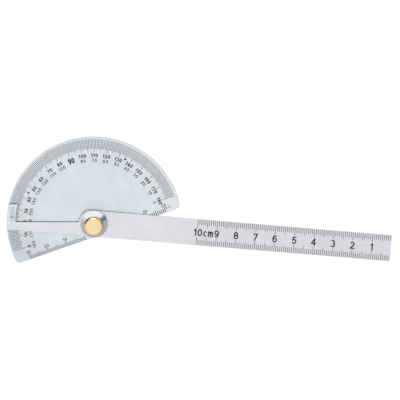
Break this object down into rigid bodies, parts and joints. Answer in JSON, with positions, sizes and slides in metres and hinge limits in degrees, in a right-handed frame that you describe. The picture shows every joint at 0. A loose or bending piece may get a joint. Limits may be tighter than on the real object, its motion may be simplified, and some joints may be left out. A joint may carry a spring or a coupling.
{
  "type": "bevel protractor",
  "caption": "Plate protractor: a half-round graduated head with a ruler blade that swings on a stud, clamped by a dished washer and a knurled closed nut.",
  "frame": {"origin": "on the pivot axis, in the plane of the head plate's back, which is the flat face that the tool lies on", "axes": "+X along the base edge towards the 180 degree end of the scale, +Y towards the 90 degree mark, +Z out of the graduated face, the thinnest way through the tool"},
  "size_m": [0.1872, 0.1141, 0.0098],
  "materials": {
    "head_steel": "fine satin, slightly blue",
    "stud_steel": "turned",
    "washer_plastic": "matt",
    "blade_steel": "fine brushed along its length",
    "spring_steel": "polished",
    "nut_brass": "bright, turned face"
  },
  "bodies": {
    "head": {"head_plate": "head_steel", "pivot_stud": "stud_steel", "friction_washer": "washer_plastic"},
    "blade": {"blade": "blade_steel"},
    "clamp_washer": {"spring_washer": "spring_steel"},
    "lock_nut": {"lock_nut": "nut_brass"}
  },
  "joints": [
    {"name": "blade_swing", "type": "hinge", "parent": "head", "child": "blade", "pos_m": [0, 0, 0], "axis": [0, 0, -1], "continuous": true},
    {"name": "nut_turn", "type": "hinge", "parent": "head", "child": "clamp_washer", "pos_m": [0, 0, 0], "axis": [0, 0, 1], "range_deg": [0, 360]},
    {"name": "nut_rise", "type": "slide", "parent": "clamp_washer", "child": "lock_nut", "axis": [0, 0, 1], "range_m": [0, 0.0007]}
  ],
  "couplings": [
    {"joint": "nut_turn", "follows": "nut_rise", "rad_per_m": 8975}
  ]
}
